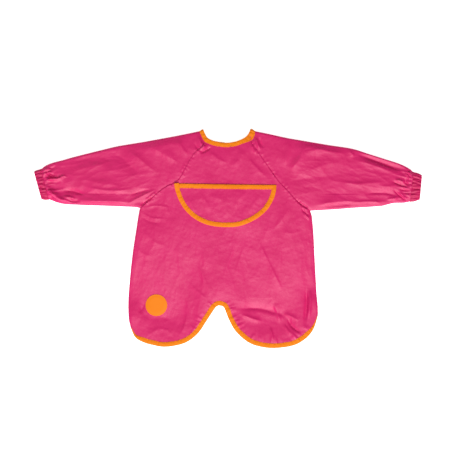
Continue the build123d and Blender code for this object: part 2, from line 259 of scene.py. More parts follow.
# Each crease: line, height, half-width, skew.
CREASES = [
    # left sleeve, from the cuff inwards
    ([(-366, 107), (-354, 95), (-342, 84), (-328, 76), (-306, 72)], 6.0, 3.8, -0.4),
    ([(-364, 101), (-352, 90), (-343, 80)], 1.8, 2.0, 0.2),
    ([(-360, 94), (-350, 84), (-345, 77)], -1.2, 1.6, 0.0),
    ([(-332, 95), (-312, 95.5), (-297, 92), (-280, 84)], -3.0, 4.0, 0.0),
    ([(-292, 93), (-262, 89), (-237, 86), (-195, 89), (-165, 98)], -0.6, 6.0, 0.2),
    ([(-352, 82), (-338, 74), (-322, 70)], 1.4, 1.4, 0.0),
    ([(-347, 78), (-334, 72)], -1.2, 1.3, 0.0),
    ([(-330, 84), (-312, 82), (-300, 77)], 2.4, 2.6, 0.2),
    ([(-322, 78), (-306, 74.5), (-292, 75.5)], -2.6, 2.0, 0.0),
    ([(-308, 73), (-285, 73.5), (-262, 74), (-224, 73.5), (-184, 70)], 3.2, 4.4, -0.6),
    ([(-370, 121), (-352, 119), (-337, 120), (-326, 125.5), (-317, 120)], 3.8, 2.8, 0.5),
    ([(-362, 114), (-346, 112), (-330, 114)], -1.2, 2.2, 0.0),
    ([(-365, 137), (-353, 126), (-340, 123), (-326, 125)], -3.0, 1.9, 0.0),
    ([(-374, 124), (-361, 131), (-345, 133)], 2.9, 2.0, 0.4),
    ([(-371, 133), (-361, 138), (-348, 139)], 2.0, 2.2, 0.3),
    ([(-360, 141), (-350, 141), (-340, 146)], -1.2, 2.4, 0.0),
    ([(-322, 132), (-300, 137), (-262, 146), (-232, 152)], 1.3, 8.0, -0.4),
    ([(-318, 152), (-280, 157), (-246, 158), (-214, 160)], -1.6, 9.0, 0.2),
    ([(-296, 122), (-262, 112), (-226, 106), (-192, 104)], 1.4, 12.0, 0.4),
    ([(-290, 104), (-250, 97), (-216, 96), (-180, 99)], 1.8, 6.0, 0.6),
    ([(-240, 168), (-212, 162), (-190, 142), (-172, 122)], -1.2, 9.0, 0.5),
    ([(-206, 178), (-184, 166), (-160, 146), (-134, 128)], 1.8, 9.0, 0.3),
    ([(-160, 188), (-132, 172), (-108, 158), (-90, 150)], 1.7, 8.0, -0.4),
    ([(-204, 66), (-184, 78), (-164, 88), (-140, 99)], 1.8, 3.6, 0.5),
    ([(-200, 84), (-176, 93), (-152, 99)], -1.6, 3.2, 0.2),
    ([(-176, 64), (-164, 74), (-147, 84)], -2.6, 1.9, 0.3),
    ([(-170, 68), (-158, 80), (-138, 96)], 1.6, 1.9, 0.3),
    ([(-100, 196), (-86, 176), (-76, 162)], 1.2, 6.0, 0.4),
    ([(-58, 205), (-50, 188), (-42, 178)], 1.7, 3.0, 0.4),
    ([(-66, 192), (-56, 178), (-44, 172)], -1.6, 2.6, 0.0),
    ([(-54, 169), (-41, 177), (-29, 183.5)], -2.4, 2.0, -0.2),
    ([(-60, 172), (-48, 183), (-38, 188)], 1.6, 2.4, 0.3),
    ([(-200, 172), (-150, 182), (-100, 190), (-62, 194)], 2.0, 15.0, 0.5),
    # right sleeve, from the cuff inwards
    ([(124, 178), (160, 182), (204, 176)], 1.8, 12.0, 0.5),
    ([(250, 171), (276, 163), (302, 154), (320, 147), (338, 139.5), (352, 133),
      (367, 124)], -3.3, 5.0, -0.68),
    ([(246, 160), (276, 152), (302, 143.5), (320, 136.5), (338, 129.5), (350, 124)], 1.5, 4.5, 0.2),
    ([(359, 136), (366, 130), (371, 122), (373, 113)], 2.6, 1.7, 0.3),
    ([(355, 131), (362, 125), (367, 116)], 2.0, 1.6, 0.3),
    ([(356, 121), (358, 111), (367, 104)], -2.4, 1.7, 0.0),
    ([(328, 114.5), (338.5, 110.5), (352, 105.5), (367, 101.5)], -2.6, 1.8, -0.3),
    ([(334, 118), (346, 115.5), (356, 110)], 1.7, 2.2, 0.2),
    ([(343, 98.5), (356.4, 97), (368, 95)], -2.2, 1.5, 0.0),
    ([(346, 91.5), (361, 90.5), (369, 90)], -1.8, 1.4, 0.0),
    ([(350, 102), (360, 99.5), (369, 98)], 1.5, 1.5, 0.0),
    ([(332, 99), (338.5, 92.5), (347.4, 84.5), (356.4, 77.5), (363, 74)], -2.6, 1.8, -0.2),
    ([(344, 92), (353, 84), (362, 78)], 1.8, 1.8, 0.2),
    ([(268, 89), (302, 91), (320, 90), (331, 87.5), (345, 85)], -1.6, 2.8, -0.5),
    ([(318, 79), (330, 79.5), (344, 82)], 1.8, 2.6, 0.2),
    ([(240, 70), (276, 74), (304, 73), (326, 76)], 1.6, 3.4, 0.3),
    ([(300, 106), (322, 104), (344, 108)], 1.0, 4.0, 0.3),
    ([(247, 183), (248, 172), (256, 163)], 1.7, 4.0, 0.4),
    ([(122, 200), (124, 180), (119, 160), (112, 140)], 1.3, 7.0, 0.7),
    ([(146, 186), (150, 170), (140, 152), (122, 136)], 2.4, 8.0, -0.5),
    ([(152, 174), (186, 178), (216, 172), (246, 170)], 1.7, 6.0, 0.4),
    ([(128, 132), (166, 138), (206, 150), (242, 150)], 0.9, 9.0, 0.3),
    ([(120, 110), (158, 120), (198, 124), (240, 128)], -0.7, 8.0, 0.0),
    ([(124, 98), (158, 103), (194, 97), (230, 86), (262, 80)], -0.5, 6.5, 0.3),
    ([(172, 64), (206, 71), (240, 74), (276, 74)], 2.6, 4.4, -0.6),
    ([(214, 116), (262, 110), (304, 112), (330, 108)], 1.3, 8.0, 0.4),
    ([(57, 204), (61, 190), (67, 176)], 2.4, 2.6, 0.3),
    ([(64, 204), (68, 190), (74, 180)], -1.6, 2.4, 0.0),
    ([(45, 192), (53, 178), (60, 166)], 1.4, 2.2, 0.0),
    ([(166, 58), (150, 68), (136, 80)], -2.4, 2.0, 0.2),
    ([(168, 36), (160, 44), (152, 54)], 1.8, 2.8, 0.2),
    ([(166, 44), (156, 52), (148, 62)], -1.5, 2.0, 0.0),
    # body, under the arms
    ([(-172, 54), (-150, 41), (-120, 40)], 0.6, 3.0, 0.4),
    ([(-174, 46), (-152, 33), (-126, 31)], -0.6, 2.6, 0.0),
    ([(-168, 62), (-140, 66), (-112, 62)], 0.7, 2.6, 0.4),
    ([(-172, 20), (-146, -6), (-118, -16)], 0.45, 5.0, 0.3),
    ([(-120, 92), (-124, 66), (-112, 42)], 0.9, 6.0, 0.3),
    ([(-186, -14), (-168, -30), (-148, -38)], 0.45, 5.0, 0.2),
    # body, below the pocket
    ([(56, 8), (72, -24), (92, -66), (116, -114)], 0.8, 3.6, 0.5),
    ([(-40, 10), (-44, -30), (-40, -70)], 0.4, 7.0, 0.3),
    ([(20, 10), (10, -28), (-2, -62), (-6, -96)], 0.75, 3.4, 0.3),
    ([(44, 4), (26, -40), (14, -86)], 0.6, 4.0, -0.3),
    ([(92, 20), (104, -20), (100, -70)], 0.5, 12.0, 0.2),
    ([(126, 66), (112, 40), (88, 14)], 0.74, 6.0, 0.3),
    ([(150, 16), (126, 10), (104, 16)], 0.56, 6.0, 0.4),
    ([(146, -16), (148, -56), (144, -96)], 0.5, 9.0, 0.3),
    ([(-126, 8), (-122, -40), (-124, -92)], 0.6, 3.8, 0.2),
    ([(-100, 2), (-96, -44), (-92, -90)], 0.55, 4.2, -0.2),
    ([(-60, -40), (-44, -84), (-30, -116)], 0.6, 4.0, 0.2),
    ([(-80, -86), (-56, -108), (-36, -124)], 0.6, 4.0, 0.5),
    # right lobe
    ([(12, -139), (36, -140), (60, -140), (84, -144), (106, -151), (130, -162)], -2.8, 6.0, -0.4),
    ([(24, -150), (50, -160), (76, -168)], 1.8, 5.0, 0.2),
    ([(92, -128), (101, -150), (106, -172)], 1.7, 3.6, -0.5),
    ([(158, -96), (160, -128), (156, -176)], -3.0, 2.8, 0.6),
    ([(168, -100), (166, -134), (163, -164)], 1.8, 3.0, 0.0),
    ([(120, -156), (127, -172), (138, -183), (152, -190)], -2.2, 2.6, -0.4),
    ([(112, -170), (122, -184), (130, -196)], 1.2, 2.6, 0.3),
    ([(110, -150), (128, -156), (146, -166)], 1.4, 3.6, 0.0),
    ([(86, -176), (90, -192), (92, -206)], 1.5, 2.6, 0.2),
    # left lobe
    ([(-184, -168), (-158, -152), (-130, -156), (-100, -176)], -1.0, 9.0, -0.3),
    ([(-160, -196), (-140, -182), (-120, -184), (-104, -198)], 0.6, 4.0, 0.0),
    ([(-96, -198), (-84, -170), (-78, -144)], 0.7, 4.0, 0.4),
    ([(-176, -150), (-166, -134), (-160, -124)], -1.4, 4.0, 0.0),
    ([(-78, -200), (-62, -176), (-44, -160)], 0.7, 2.8, 0.4),
    # yoke
    ([(-34, 176), (-20, 160), (4, 150)], 1.0, 6.0, 0.4),
    ([(34, 180), (26, 160), (6, 142)], 1.0, 7.0, -0.3),
    ([(38, 166), (60, 140), (82, 120)], 1.0, 5.0, 0.3),
]
CREASE_HEIGHT = 1.15  # on top of the heights in the table

# Puckers along the sewn lines: line, side, length, height, half-width, gap, seed, lean.
PUCKERS = [
    (LEFT_SEAM[2:], 1, 9, 0.8, 1.6, 7, 31, 0.5),
    (LEFT_SEAM[2:], -1, 8, 0.6, 1.6, 8, 32, 0.5),
    (RIGHT_SEAM[2:], 1, 9, 0.7, 1.6, 8, 33, 0.5),
    (RIGHT_SEAM[2:], -1, 8, 0.6, 1.6, 8, 34, 0.5),
    (HEM_LEFT[2:], 1, 20, 0.55, 1.8, 7, 35, 0.4),
    (HEM_RIGHT[1:-1], 1, 26, 1.0, 1.8, 6.5, 36, 0.4),
    (HEM_LEFT[-4:], 1, 22, 1.5, 1.5, 4.5, 38, 0.3),
    (HEM_RIGHT[:4], 1, 22, 1.6, 1.5, 4.5, 39, 0.3),
    (HEM_RIGHT[5:9], 1, 30, 1.3, 2.0, 7, 40, 0.25),
    (NECK[1:-1], -1, 17, 0.5, 1.6, 8, 37, 0.5),
]
# Even relief all over: height, wave length, seed.
UNEVEN = ((1.0, 150, 1), (0.36, 62, 2), (0.15, 27, 3), (0.07, 12, 5))
# Fine creased ridges: height, lean in degrees, wave length, length over width, seed. The right
# sleeve leans the other way, from a seed two higher.
SLEEVE_STREAKS = ((0.5, 12, 40, 4.5, 70), (0.26, 8, 19, 5, 90), (0.13, 8, 11, 4, 94))
BODY_STREAKS = ((0.42, 86, 44, 5, 74), (0.2, 96, 21, 5, 76), (0.1, 70, 12, 3, 78))


def puckers(xy, z, path, side, length, height, width, gap, seed, lean=0.5):
    """Small folds at right angles to a sewn line."""
    r = np.random.default_rng(seed)
    line = curve(path, gap)
    for p, q in zip(line[:-1], line[1:]):
        t = (q - p) / (np.linalg.norm(q - p) or 1)
        n = np.array([-t[1], t[0]]) * side
        if r.uniform() < 0.25:
            continue
        s = p + t * r.uniform(-0.3, 0.3) * gap
        reach = length * r.uniform(0.5, 1.35)
        e = s + n * reach + t * reach * r.uniform(-lean, lean)
        high, half = height * r.uniform(0.5, 1.3), width * r.uniform(0.8, 1.3)
        fold(xy, z, [s, e], high, half, r.uniform(-0.4, 0.4), fade=0.8, grow=0.6, start=0)


def streaks(xy, lean, wave, aspect, seed):
    """Long creased ridges that run along one direction, from 0 to 1."""
    a = math.radians(lean)
    along = xy[:, 0] * math.cos(a) + xy[:, 1] * math.sin(a)
    across = -xy[:, 0] * math.sin(a) + xy[:, 1] * math.cos(a)
    across = across + 5 * noise(xy, 90, seed + 1)
    z = noise(np.column_stack([along / aspect, across]), wave, seed)
    return (1 - np.abs(z)) ** 2


def relief(xy):
    """Height of the folds and puckers above the lying cloth's mean."""
    z = sum(height * noise(xy, wave, seed) for height, wave, seed in UNEVEN)
    arm = ease(np.abs(xy[:, 0]), 110, 60) * ease(xy[:, 1], 40, 30)
    left = xy[:, 0] < 0
    for height, lean, wave, aspect, seed in SLEEVE_STREAKS:
        mirrored = streaks(xy, -lean, wave, aspect, seed + 2)
        z += arm * height * np.where(left, streaks(xy, lean, wave, aspect, seed), mirrored)
    z += (1 - arm) * sum(height * streaks(xy, *rest) for height, *rest in BODY_STREAKS)
    for points, height, width, skew in CREASES:
        fold(xy, z, points, CREASE_HEIGHT * height, width, skew)
    pleats(xy, z, "left")
    pleats(xy, z, "right")
    for row in PUCKERS:
        puckers(xy, z, *row)
    return z


def gap_to(edges, xy):
    """Distance from each point to the nearest of several lines."""
    d = np.full(len(xy), 1e9)
    for e in edges:
        d = np.minimum(d, near(e, xy)[0])
    return d


VALLEY_IN, VALLEY_OUT, VALLEY_MID = 36, 62, 60  # the lobes lie lower, in a band inside the hem


def lobes_drop(xy, hem, neck):
    """How much lower the upper layer lies at the hem, in the lobes and at the neck."""
    body = smooth((60 - xy[:, 1]) / 60)
    deep = 4.8 + 1.3 * smooth((-10 - xy[:, 0]) / 40)
    band = bell(hem, VALLEY_MID, np.where(hem < VALLEY_MID, VALLEY_IN, VALLEY_OUT))
    valley = deep * (band - math.exp(-((VALLEY_MID / VALLEY_IN) ** 2)))
    between_lobes = bell(xy[:, 0], -16, 58) * ease(xy[:, 1], -172, 50)
    drop = body * (smooth(1 - hem / 30) * 0.9 + valley * (1 - between_lobes))
    return drop + smooth(1 - neck / 30) * 1.6


def shape_of(xy):
    """Heights of the upper and the lower cloth layer, which meet along the folds."""
    xy = np.asarray(xy, float)
    d = gap_to(fold_edges, xy)
    hem = near(hem_line, xy)[0]
    neck = near(neck_line, xy)[0]
    left, _, left_hand = near(left_seam, xy)
    right, _, right_hand = near(right_seam, xy)
    seam = np.minimum(left, right)
    inner = np.where(left < right, left_hand, -right_hand) > 0
    roll = np.sqrt(np.clip(1 - (1 - np.clip(d / TURN, 0, 1)) ** 2, 0, 1))
    drop = lobes_drop(xy, hem, neck)
    # The relief is calm at the folds, along the bindings and under the badge.
    calm = smooth(d / 9) * (0.35 + 0.65 * ease(neck, 2, 14)) * (0.25 + 0.75 * ease(hem, 4, 14))
    calm *= 0.15 + 0.85 * ease(np.hypot(*(xy - BADGE).T), 21, 12)
    puff = PUFF * smooth(d / 45)
    z = relief(xy)
    top = TOP - drop + puff + z * calm
    # The sleeve lies a step lower than the front along the raglan seams.
    front = smooth(0.5 + np.where(inner, 1, -1) * seam / 2.4)
    step = front * SEAM_UP * np.exp(-seam / 7.0) - (1 - front) * SEAM_DOWN * np.exp(-seam / 2.6)
    top += step * (0.75 + 0.35 * noise(xy, 40, 81)) * smooth(d / 5) * ease(neck, 1, 7)
    low = LOW + 0.25 * (1 + noise(xy, 70, 9)) + 0.32 * np.clip(z, 0, 4) * calm
    middle = MID - 0.5 * drop
    top = middle + (np.maximum(top, low + LAYER_GAP) - middle) * roll
    low = middle - (middle - low) * roll
    return top, low


# ---------------------------------------------------------------- meshes
def within(closed, xy):
    """Which points lie inside a closed outline."""
    inside = np.zeros(len(xy), bool)
    for a, b in zip(closed[:-1], closed[1:]):
        cross = (a[1] > xy[:, 1]) != (b[1] > xy[:, 1])
        with np.errstate(divide="ignore", invalid="ignore"):
            x = a[0] + (xy[:, 1] - a[1]) * (b[0] - a[0]) / (b[1] - a[1])
        inside ^= cross & (xy[:, 0] < x)
    return inside


def signed_area(loop):
    x, y = loop[:, 0], loop[:, 1]
    return 0.5 * np.sum(x * np.roll(y, -1) - np.roll(x, -1) * y)


EDGE_ROWS = (0.35, 1.0, 2.1)  # extra rows of points just inside an outline
EDGE_CLEAR = 3.0  # where the even grid starts


def fill(loop, step):
    """Even triangles inside an outline, denser next to its edge. Gives points and triangles."""
    loop = np.asarray(loop, float)
    closed = np.vstack([loop, loop[:1]])
    n = len(loop)
    tangent = np.roll(loop, -1, 0) - np.roll(loop, 1, 0)
    tangent /= np.linalg.norm(tangent, axis=1)[:, None] + 1e-9
    inward = np.column_stack([-tangent[:, 1], tangent[:, 0]]) * (1 if signed_area(loop) > 0 else -1)
    lo, hi = loop.min(0), loop.max(0)
    gx = np.arange(lo[0], hi[0], step)
    gy = np.arange(lo[1], hi[1], step * 0.87)
    grid = np.array([(x + (step / 2 if j % 2 else 0), y) for j, y in enumerate(gy) for x in gx])
    grid += np.random.default_rng(3).uniform(-0.12, 0.12, grid.shape) * step
    grid = grid[within(closed, grid)]
    grid = grid[near(closed, grid)[0] > EDGE_CLEAR]
    rows = []
    for off in EDGE_ROWS:
        row = loop + inward * off
        rows.append(row[near(closed, row)[0] > off * 0.93])
    pts = [Vector(p) for p in np.vstack([loop] + rows + [grid])]
    out = geometry.delaunay_2d_cdt(pts, [], [list(range(n))], 1, 1e-5, False)
    verts = np.array([tuple(v) for v in out[0]])
    faces = np.array([tuple(f) for f in out[2]])
    faces = faces[within(closed, verts[faces].mean(1))]
    return verts, [tuple(f) for f in faces]


def rings(count, around, closed=False):
    """Quads between each ring of points and the next one, and back to the first if closed."""
    faces = []
    for i in range(count if closed else count - 1):
        n = (i + 1) % count
        for j in range(around):
            k = (j + 1) % around
            faces.append((i * around + j, i * around + k, n * around + k, n * around + j))
    return faces


def end_caps(count, around):
    """One face each to close the first and the last ring of points."""
    last = (count - 1) * around
    return [tuple(reversed(range(around))), tuple(last + j for j in range(around))]


def facing_out(verts, faces):
    """The faces of a closed mesh, all turned over if they face inwards."""
    v = np.asarray(verts, float).reshape(-1, 3)
    triangles = [(f[0], f[i], f[i + 1]) for f in faces for i in range(1, len(f) - 1)]
    a, b, c = (v[list(corner)] for corner in zip(*triangles))
    volume = np.sum(a * np.cross(b, c))
    return faces if volume > 0 else [f[::-1] for f in faces]


def link(name, data):
    obj = bpy.data.objects.new(name, data)
    bpy.context.scene.collection.objects.link(obj)
    return obj


def add_mesh(name, verts, faces, material):
    """A smooth mesh object from points in millimetres."""
    mesh = bpy.data.meshes.new(name)
    points = (np.asarray(verts, float) * MM).tolist()
    mesh.from_pydata(points, [], [tuple(int(i) for i in f) for f in faces])
    mesh.update()
    mesh.polygons.foreach_set("use_smooth", [True] * len(mesh.polygons))
    obj = link(name, mesh)
    mesh.materials.append(material)
    return obj


def thicken(obj, amount=CLOTH):
    mod = obj.modifiers.new("cloth thickness", "SOLIDIFY")
    mod.thickness = amount * MM
    mod.offset = -1


def panel(name, loop, material, layer):
    """One cloth layer over an outline."""
    verts, faces = fill(loop, STEP)
    top, low = shape_of(verts)
    if layer == "low":
        faces = [f[::-1] for f in faces]
    z = top if layer == "top" else low
    obj = add_mesh(name, np.column_stack([verts, z]), faces, material)
    thicken(obj)
    return obj


def tube(name, loop, material):
    """Both layers of a sleeve as one cloth, joined along its folds and open elsewhere."""
    verts, faces = fill(loop, STEP)
    top, low = shape_of(verts)
    shared = gap_to(fold_edges, verts) < 0.02
    n = len(verts)
    lower = np.arange(n) + n
    lower[shared] = np.arange(n)[shared]
    both = np.vstack([np.column_stack([verts, top]), np.column_stack([verts, low])])
    under = [tuple(int(lower[i]) for i in f[::-1]) for f in faces]
    obj = add_mesh(name, both, list(faces) + under, material)
    thicken(obj)
    return obj


# ---------------------------------------------------------------- materials
def new_material(name, rough, gloss):
    mat = bpy.data.materials.new(name)
    mat.use_nodes = True
    shader = mat.node_tree.nodes["Principled BSDF"]
    shader.inputs["Roughness"].default_value = rough
    shader.inputs["Specular IOR Level"].default_value = gloss
    return mat, mat.node_tree, shader


def add_node(tree, kind, **values):
    """A shader node with some of its input values set."""
    node = tree.nodes.new(kind)
    for socket, value in values.items():
        node.inputs[socket].default_value = value
    return node


def mixed_colour(tree, shader, pattern, dark, colour):
    """The pattern, from 0 to 1, runs the base colour from dark to colour."""
    mix = tree.nodes.new("ShaderNodeMix")
    mix.data_type = "RGBA"
    mix.inputs[6].default_value = (*dark, 1)
    mix.inputs[7].default_value = (*colour, 1)
    tree.links.new(pattern.outputs["Fac"], mix.inputs[0])
    tree.links.new(mix.outputs[2], shader.inputs["Base Color"])


def cloth_material(name, colour, dark, rough, bump, gloss=0.36, weave=2600):
    """Coated nylon: an even colour with soft mottling, a fine plain weave and small crinkles."""
    mat, tree, shader = new_material(name, rough, gloss)
    place = tree.nodes.new("ShaderNodeTexCoord").outputs["Object"]
    mottle = add_node(tree, "ShaderNodeTexNoise", Scale=38, Detail=5)
    mixed_colour(tree, shader, mottle, dark, colour)
    crinkle = add_node(tree, "ShaderNodeTexNoise", Scale=150, Detail=4, Roughness=0.6)
    first = add_node(tree, "ShaderNodeBump", Strength=bump, Distance=0.0012)
    warp, weft = (
        add_node(tree, "ShaderNodeTexWave", Scale=weave / 6.28, Distortion=0.4) for _ in range(2)
    )
    warp.bands_direction = "X"
    weft.bands_direction = "Y"
    for pattern in (mottle, crinkle, warp, weft):
        tree.links.new(place, pattern.inputs["Vector"])
    both = tree.nodes.new("ShaderNodeMath")
    both.operation = "ADD"
    tree.links.new(warp.outputs["Fac"], both.inputs[0])
    tree.links.new(weft.outputs["Fac"], both.inputs[1])
    second = add_node(tree, "ShaderNodeBump", Strength=0.12, Distance=0.00012)
    tree.links.new(crinkle.outputs["Fac"], first.inputs["Height"])
    tree.links.new(both.outputs[0], second.inputs["Height"])
    tree.links.new(first.outputs["Normal"], second.inputs["Normal"])
    tree.links.new(second.outputs["Normal"], shader.inputs["Normal"])
    return mat


def plain_material(name, colour, rough, gloss=0.4):
    """An even colour with faint mottling."""
    mat, tree, shader = new_material(name, rough, gloss)
    mottle = add_node(tree, "ShaderNodeTexNoise", Scale=220)
    mixed_colour(tree, shader, mottle, [c * 0.92 for c in colour], colour)
    return mat


pink = cloth_material(
    "pink coated nylon", (0.71, 0.0135, 0.149), (0.65, 0.009, 0.122), 0.45, 0.34, gloss=0.4)
# The cuffs' cloth is a darker pink than the rest: painted shade of the dense gathers.
gathered_painted_shade = cloth_material(
    "pink gathered nylon", (0.64, 0.009, 0.118), (0.50, 0.005, 0.084), 0.5, 0.4, gloss=0.3)
orange = cloth_material(
    "orange binding tape", (0.94, 0.255, 0.003), (0.80, 0.19, 0.002), 0.62, 0.55, gloss=0.2)
badge_orange = plain_material("orange badge", (0.92, 0.232, 0.004), 0.6, gloss=0.2)
orange_thread = plain_material("orange thread", (0.86, 0.20, 0.008), 0.6)
elastic_white = plain_material("white elastic", (0.85, 0.84, 0.8), 0.7)
hook_pink = cloth_material("pink hook and loop", (0.62, 0.03, 0.14), (0.5, 0.02, 0.1), 0.85, 0.8)

# ---------------------------------------------------------------- body and sleeves
front_loop = join(left_side, hem_left, hem_right, right_side, right_seam[::-1], neck_line[::-1],
                  left_seam)
front = panel("front_panel_cloth", front_loop, pink, "top")
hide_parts("front_panel")
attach(front, "smock")


def cuff_line(side):
    c = CUFFS[side]
    return curve([c["a"], c["b"]])


left_loop = join(left_top, cuff_line("left"), left_under, left_seam[::-1])
right_loop = join(right_under, cuff_line("right")[::-1], right_top, right_seam)
left_sleeve = tube("left_sleeve_cloth", left_loop, pink)
right_sleeve = tube("right_sleeve_cloth", right_loop, pink)
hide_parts("left_sleeve", "left_sleeve_cap")
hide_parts("right_sleeve", "right_sleeve_cap")

# Back panels: the lower layer, with the open back cut away. The edges run from the nape down.
BACK_EDGE = {
    "left": [(-4, 184), (-4, 140), (-30, 92), (-92, 12), (-150, -82), (-182, -140), (-194, -175)],
    "right": [(4, 184), (4, 140), (30, 92), (92, 12), (146, -82), (170, -122), (182.3, -152)],
}
back_edges = {}
for side, pts in BACK_EDGE.items():
    edge = join(curve(pts[:2]), curve(pts[1:]))
    back_edges[side] = edge
    if side == "left":
        neck_bit = neck_line[neck_line[:, 0] < -5]
        loop = join(left_side, edge[::-1], neck_bit[::-1], left_seam)
    else:
        neck_bit = neck_line[neck_line[:, 0] > 5]
        loop = join(edge, right_side, right_seam[::-1], neck_bit[::-1])
    obj = panel(f"back_panel_{side}_cloth", loop, pink, "low")
    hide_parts(f"back_panel_{side}")
    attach(obj, "smock")

# ---------------------------------------------------------------- cuffs
CUFF_AROUND = 168  # points round a cuff
RIBS = ((0.6, 17, 9), (0.5, 23, 6), (0.35, 31, 7), (0.45, 8, 3))  # height, count, most slant
RIB_HEIGHT = 0.7
CUFF_SEEDS = {"left": 12, "right": 15}
# Rings from the sleeve to the mouth and back inside it: place, shrink and rib height.
CASING = [
    (-0.10, 1.6, 0.5), (0.0, -0.1, 0.9), (0.06, -0.7, 1.2), (0.12, -0.3, 1.0), (0.2, -0.5, 1.35),
    (0.35, -0.9, 1.5), (0.5, -1.0, 1.55), (0.65, -0.95, 1.5), (0.8, -0.6, 1.35), (0.87, -0.2, 1.0),
    (0.93, -0.4, 1.2), (0.985, -0.1, 1.2), (1.0, 0.35, 1.15), (0.985, 0.9, 1.15), (0.9, 1.2, 1.2),
    (0.5, 1.45, 1.5), (0.1, 1.6, 1.0),
]
ELASTIC = [(0.25, 0.1, 1.4), (0.5, 0.1, 1.55), (0.75, 0.1, 1.4), (0.75, 0.7, 1.4),
           (0.5, 0.7, 1.55), (0.25, 0.7, 1.4)]


def cuff(side):
    """A casing drawn up into gathers, which turns in at the mouth, with the elastic inside it. Its
    cloth is a darker pink, painted shade of the gathers.
    """
    c = CUFFS[side]
    a, b, e, f = (np.array(c[k], float) for k in "abcd")
    r = np.random.default_rng(CUFF_SEEDS[side])
    angle = np.linspace(0, 2 * math.pi, CUFF_AROUND, endpoint=False)
    high, count, most = zip(*RIBS)
    phase = r.uniform(0, 6.28, 4)
    slant = r.uniform(-1, 1, 4) * most

    def ring(s, shrink, rib):
        rib *= RIB_HEIGHT
        waves = zip(high, count, phase, slant)
        ribs = sum(w * np.sin(angle * k + p + q * s) for w, k, p, q in waves)
        upper = a + (e - a) * s
        lower = b + (f - b) * s
        across = (lower - upper) / 2
        half = np.linalg.norm(across)
        across /= half
        half = half - shrink
        wobble = 1 + 0.012 * np.sin(angle * 3 + 5 * s)
        v = np.cos(angle) * (half * wobble + 0.5 * rib * ribs)
        lift = np.abs(np.sin(angle))
        rise = 3.6 - shrink + rib * ribs * (0.35 + 0.65 * lift)
        z = 4.3 + np.sign(np.sin(angle)) * lift**0.7 * rise
        rest = 0.25 + 0.3 * max(shrink, 0)  # the underside flattens softly on the floor
        z = rest + 0.35 * np.logaddexp(0, (z - rest) / 0.35)
        return np.column_stack([(upper + lower) / 2 + across * v[:, None], z])

    faces = rings(len(CASING), CUFF_AROUND)
    if side == "right":
        faces = [q[::-1] for q in faces]
    # The casing takes the darker pink, painted shade of its gathers.
    obj = add_mesh(f"{side}_cuff_cloth", np.vstack([ring(*row) for row in CASING]), faces, gathered_painted_shade)
    thicken(obj, CUFF_CLOTH)
    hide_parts(f"{side}_cuff_casing")
    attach(obj, f"{side}_arm")
    faces = rings(len(ELASTIC), CUFF_AROUND, closed=True)
    verts = np.vstack([ring(*row) for row in ELASTIC])
    faces = facing_out(verts, faces)
    band = add_mesh(f"{side}_cuff_elastic_band", verts, faces, elastic_white)
    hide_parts(f"{side}_cuff_elastic")
    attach(band, f"{side}_arm")


cuff("left")
cuff("right")

# ---------------------------------------------------------------- bindings
# Half of a folded tape's section, from the sewn edge to the outer edge: place across, height.
PROFILE = [(1.0, 0.08), (0.985, 0.5), (0.93, 0.62), (0.87, 0.42), (0.82, 0.62), (0.66, 0.9),
           (0.4, 1.0), (0.16, 0.92), (0.02, 0.66), (-0.03, 0.15)]
STITCH_LINE = 0.87  # where the tape is sewn down, across its width
WAVES = (0.9, 1.37, 0.61, 0.33, 2.1, 0.2)  # of a tape's width and height along it


def section(up, wrap=True):
    """A tape's whole section: round the cloth edge if wrap, or flat underneath."""
    profile = [(a, b * up) for a, b in PROFILE]
    if wrap:
        return profile + [(a, -b * up) for a, b in PROFILE[::-1][1:]]
    return profile + [(-0.03, -0.1), (1.0, -0.1)]


def strip(name, path, inward, width, layer="top", up=0.95, taper=None, seed=1, wrap=True,
          extra=0.0, base=None, pucker=1.0, pinches=()):
    """A folded tape sewn over a cloth edge. Gives the tape and its line of stitches.

    path is the edge, inward the side the cloth is on, up scales its height, extra lifts it, base
    gives the height of what it lies on, and pinches are places along it with a deep crease.
    """
    r = np.random.default_rng(seed)
    path = curve(path, 1.0)
    n = len(path)
    tangent = np.gradient(path, axis=0)
    tangent /= np.linalg.norm(tangent, axis=1)[:, None]
    normal = np.column_stack([-tangent[:, 1], tangent[:, 0]]) * inward
    run = lengths_along(path)
    w = np.full(n, float(width)) if taper is None else width * taper(run / run[-1])
    phase = r.uniform(0, 6.28, len(WAVES))
    wave = sum(np.sin(run * k + p) for k, p in zip(WAVES, phase)) / 3
    w = w * (1 + 0.035 * wave)
    spots = np.cumsum(r.uniform(2.6, 9.5, int(run[-1] / 5.4)))
    depth = r.uniform(0.15, 0.75, len(spots)) * pucker
    slant = r.uniform(-3.2, 3.2, len(spots))
    spots = np.append(spots, np.array(pinches) * run[-1])
    depth = np.append(depth, np.full(len(pinches), 1.6))
    slant = np.append(slant, np.full(len(pinches), 4.0))
    profile = section(up, wrap)
    m = len(profile)
    verts = np.zeros((n, m, 3))
    for j, (a, u) in enumerate(profile):
        point = path + normal * (a * w)[:, None]
        if base is None:
            top, low = shape_of(path + normal * (np.clip(a, 0.02, 1) * w)[:, None])
            z = top if layer == "top" else low
        else:
            z = base(point)
        inside = min(max(a, 0), 1)
        skewed = np.interp(run + a * 2.6, run, wave)
        ripple = 1 + 0.3 * skewed * math.sin(math.pi * inside) + 0.12 * wave
        if u > 0:
            crease = (depth * np.exp(-((run[:, None] + slant * a - spots) ** 2))).sum(1)
            ripple = ripple - np.minimum(crease, 0.8) * (0.35 + 0.65 * inside)
        verts[:, j, :2] = point
        verts[:, j, 2] = z + u * ripple + (extra(run) if callable(extra) else extra)
    verts[:, :, 2] = np.maximum(verts[:, :, 2], FLOOR)
    faces = facing_out(verts, rings(n, m) + end_caps(n, m))
    obj = add_mesh(name, verts.reshape(-1, 3), faces, orange)
    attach(obj, "smock")
    return obj, path + normal * (w * STITCH_LINE)[:, None]


STITCH_GAP, STITCH_LENGTH, THREAD = 3.1, 2.1, 0.24  # THREAD is the thread's radius
